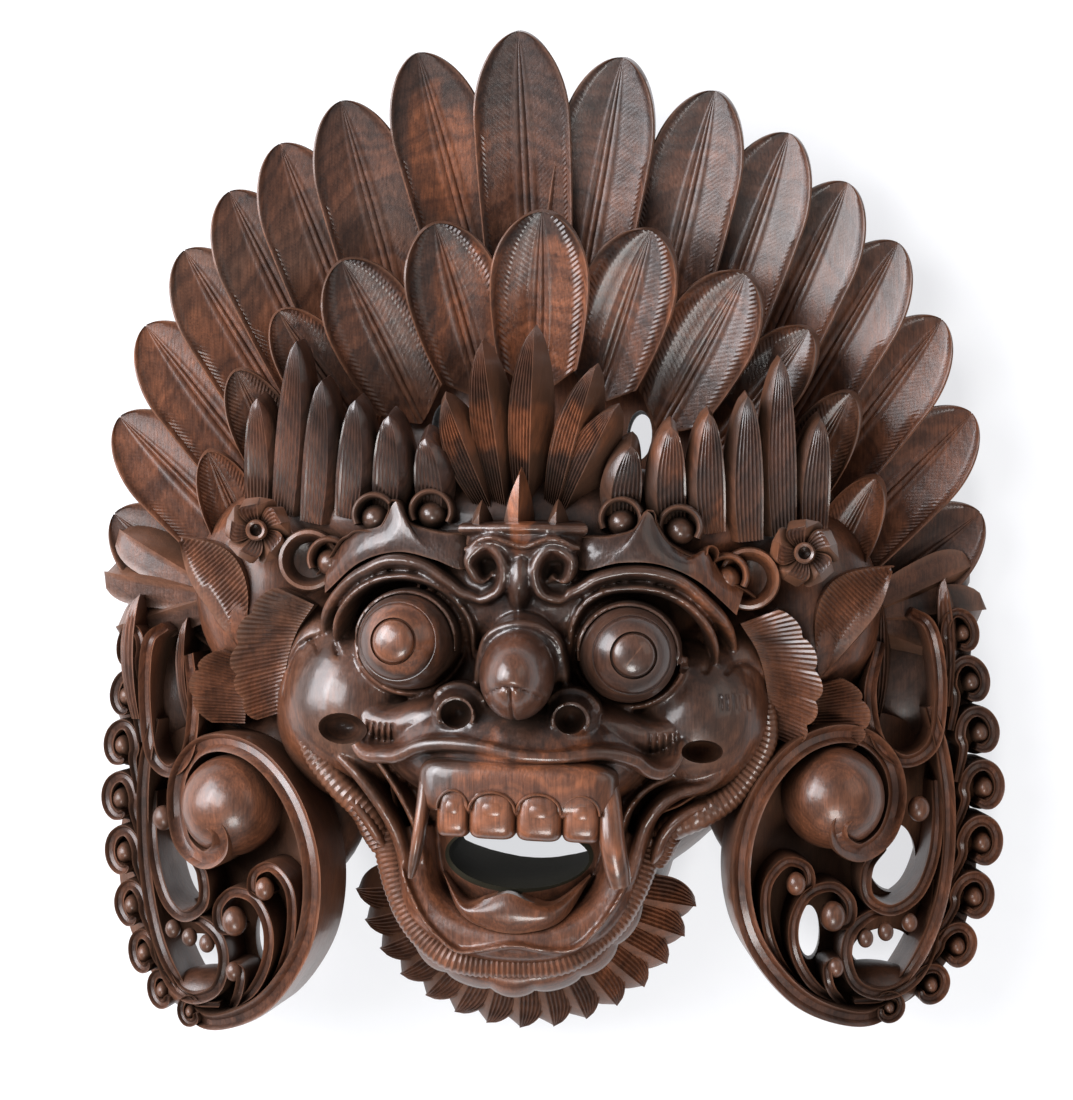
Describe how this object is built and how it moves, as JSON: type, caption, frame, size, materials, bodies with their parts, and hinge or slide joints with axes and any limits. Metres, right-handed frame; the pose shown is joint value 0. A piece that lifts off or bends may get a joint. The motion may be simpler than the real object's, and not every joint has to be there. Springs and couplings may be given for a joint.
{
  "type": "tribal mask",
  "caption": "Carved wooden guardian mask with bulging eyes, fangs, an open mouth, pierced ear ornaments and a feather crown, hollow behind, to hang or lie flat.",
  "frame": {"origin": "centre of the outline seen from the front, in the plane of the flat back rim", "axes": "+X to the viewer's right, +Y up the face towards the crest, +Z out of the face towards the viewer"},
  "size_m": [0.2296, 0.2456, 0.1008],
  "materials": {
    "carved_wood": "waxed semi-gloss, dusty in the recesses"
  },
  "bodies": {
    "root": {"mask": "carved_wood"}
  },
  "joints": []
}
